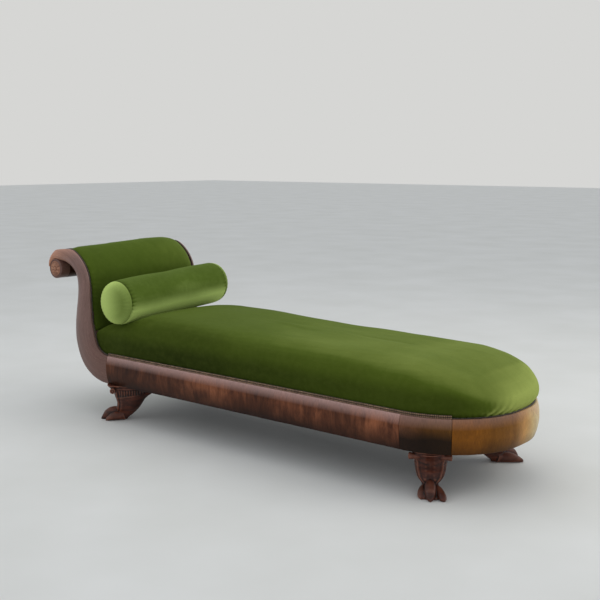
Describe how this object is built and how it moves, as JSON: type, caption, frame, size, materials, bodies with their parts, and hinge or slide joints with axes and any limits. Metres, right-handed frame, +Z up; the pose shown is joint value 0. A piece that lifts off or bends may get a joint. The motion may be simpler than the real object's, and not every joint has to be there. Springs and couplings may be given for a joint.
{
  "type": "recamier",
  "caption": "Backless daybed with one scrolled head, a bowed foot end, carved paw legs, crowned velvet seat and a loose bolster.",
  "frame": {"origin": "on the floor under the middle of the bounding box", "axes": "+X from the scrolled head to the rounded foot end, -Y to the side of the near rail, +Z up"},
  "size_m": [2.019, 0.6648, 0.6724],
  "materials": {
    "rail_veneer": "flame-figured mahogany veneer, polished",
    "arm_veneer": "flame-figured mahogany veneer, polished",
    "corner_veneer": "dark mahogany veneer, polished",
    "bow_veneer": "lighter golden mahogany veneer, polished",
    "carved_wood": "carved dark mahogany, worn polish",
    "plain_wood": "plain sawn softwood",
    "velvet": "moss green cut-pile velvet",
    "gimp": "tan braided gimp",
    "webbing": "woven jute webbing",
    "hessian": "woven hessian",
    "dust_cloth": "black woven dust cloth",
    "spring_steel": "coppered spring steel"
  },
  "bodies": {
    "frame": {"side_rail_near": "rail_veneer", "side_rail_far": "rail_veneer", "foot_corner_near": "corner_veneer", "foot_corner_far": "corner_veneer", "foot_bow_near": "bow_veneer", "foot_bow_far": "bow_veneer", "foot_bow_middle": "bow_veneer", "scroll_arm_near": "arm_veneer", "scroll_arm_far": "arm_veneer", "volute_rosette_near": "carved_wood", "volute_rosette_far": "carved_wood", "crest_roll": "arm_veneer", "crest_board": "plain_wood", "back_low_rail": "plain_wood", "head_seat_rail": "plain_wood", "seat_bearer_head": "plain_wood", "seat_bearer_foot": "plain_wood", "corner_block_head_near": "plain_wood", "corner_block_head_far": "plain_wood", "corner_block_foot_near": "plain_wood", "corner_block_foot_far": "plain_wood", "leg_head_near": "carved_wood", "leg_head_far": "carved_wood", "leg_foot_near": "carved_wood", "leg_foot_far": "carved_wood", "leg_dowel_head_near": "plain_wood", "leg_dowel_head_far": "plain_wood", "leg_dowel_foot_near": "plain_wood", "leg_dowel_foot_far": "plain_wood", "seat_webbing_long": "webbing", "seat_webbing_cross": "webbing", "spring_row_1": "spring_steel", "spring_row_2": "spring_steel", "spring_row_3": "spring_steel", "spring_row_4": "spring_steel", "spring_row_5": "spring_steel", "spring_row_6": "spring_steel", "seat_hessian": "hessian", "seat_upholstery": "velvet", "back_webbing": "webbing", "headrest_upholstery": "velvet", "outside_back": "velvet", "dust_cover": "dust_cloth", "gimp_rail_near": "gimp", "gimp_rail_far": "gimp", "gimp_foot_near": "gimp", "gimp_foot_far": "gimp", "gimp_foot_bow": "gimp", "gimp_arm_near": "gimp", "gimp_arm_far": "gimp"},
    "bolster": {"bolster_body": "velvet", "bolster_cap_near": "velvet", "bolster_cap_far": "velvet"}
  },
  "joints": [
    {"name": "bolster_lift", "type": "slide", "parent": "frame", "child": "bolster", "axis": [0, 0, 1], "range_m": [0, 0.35]}
  ]
}
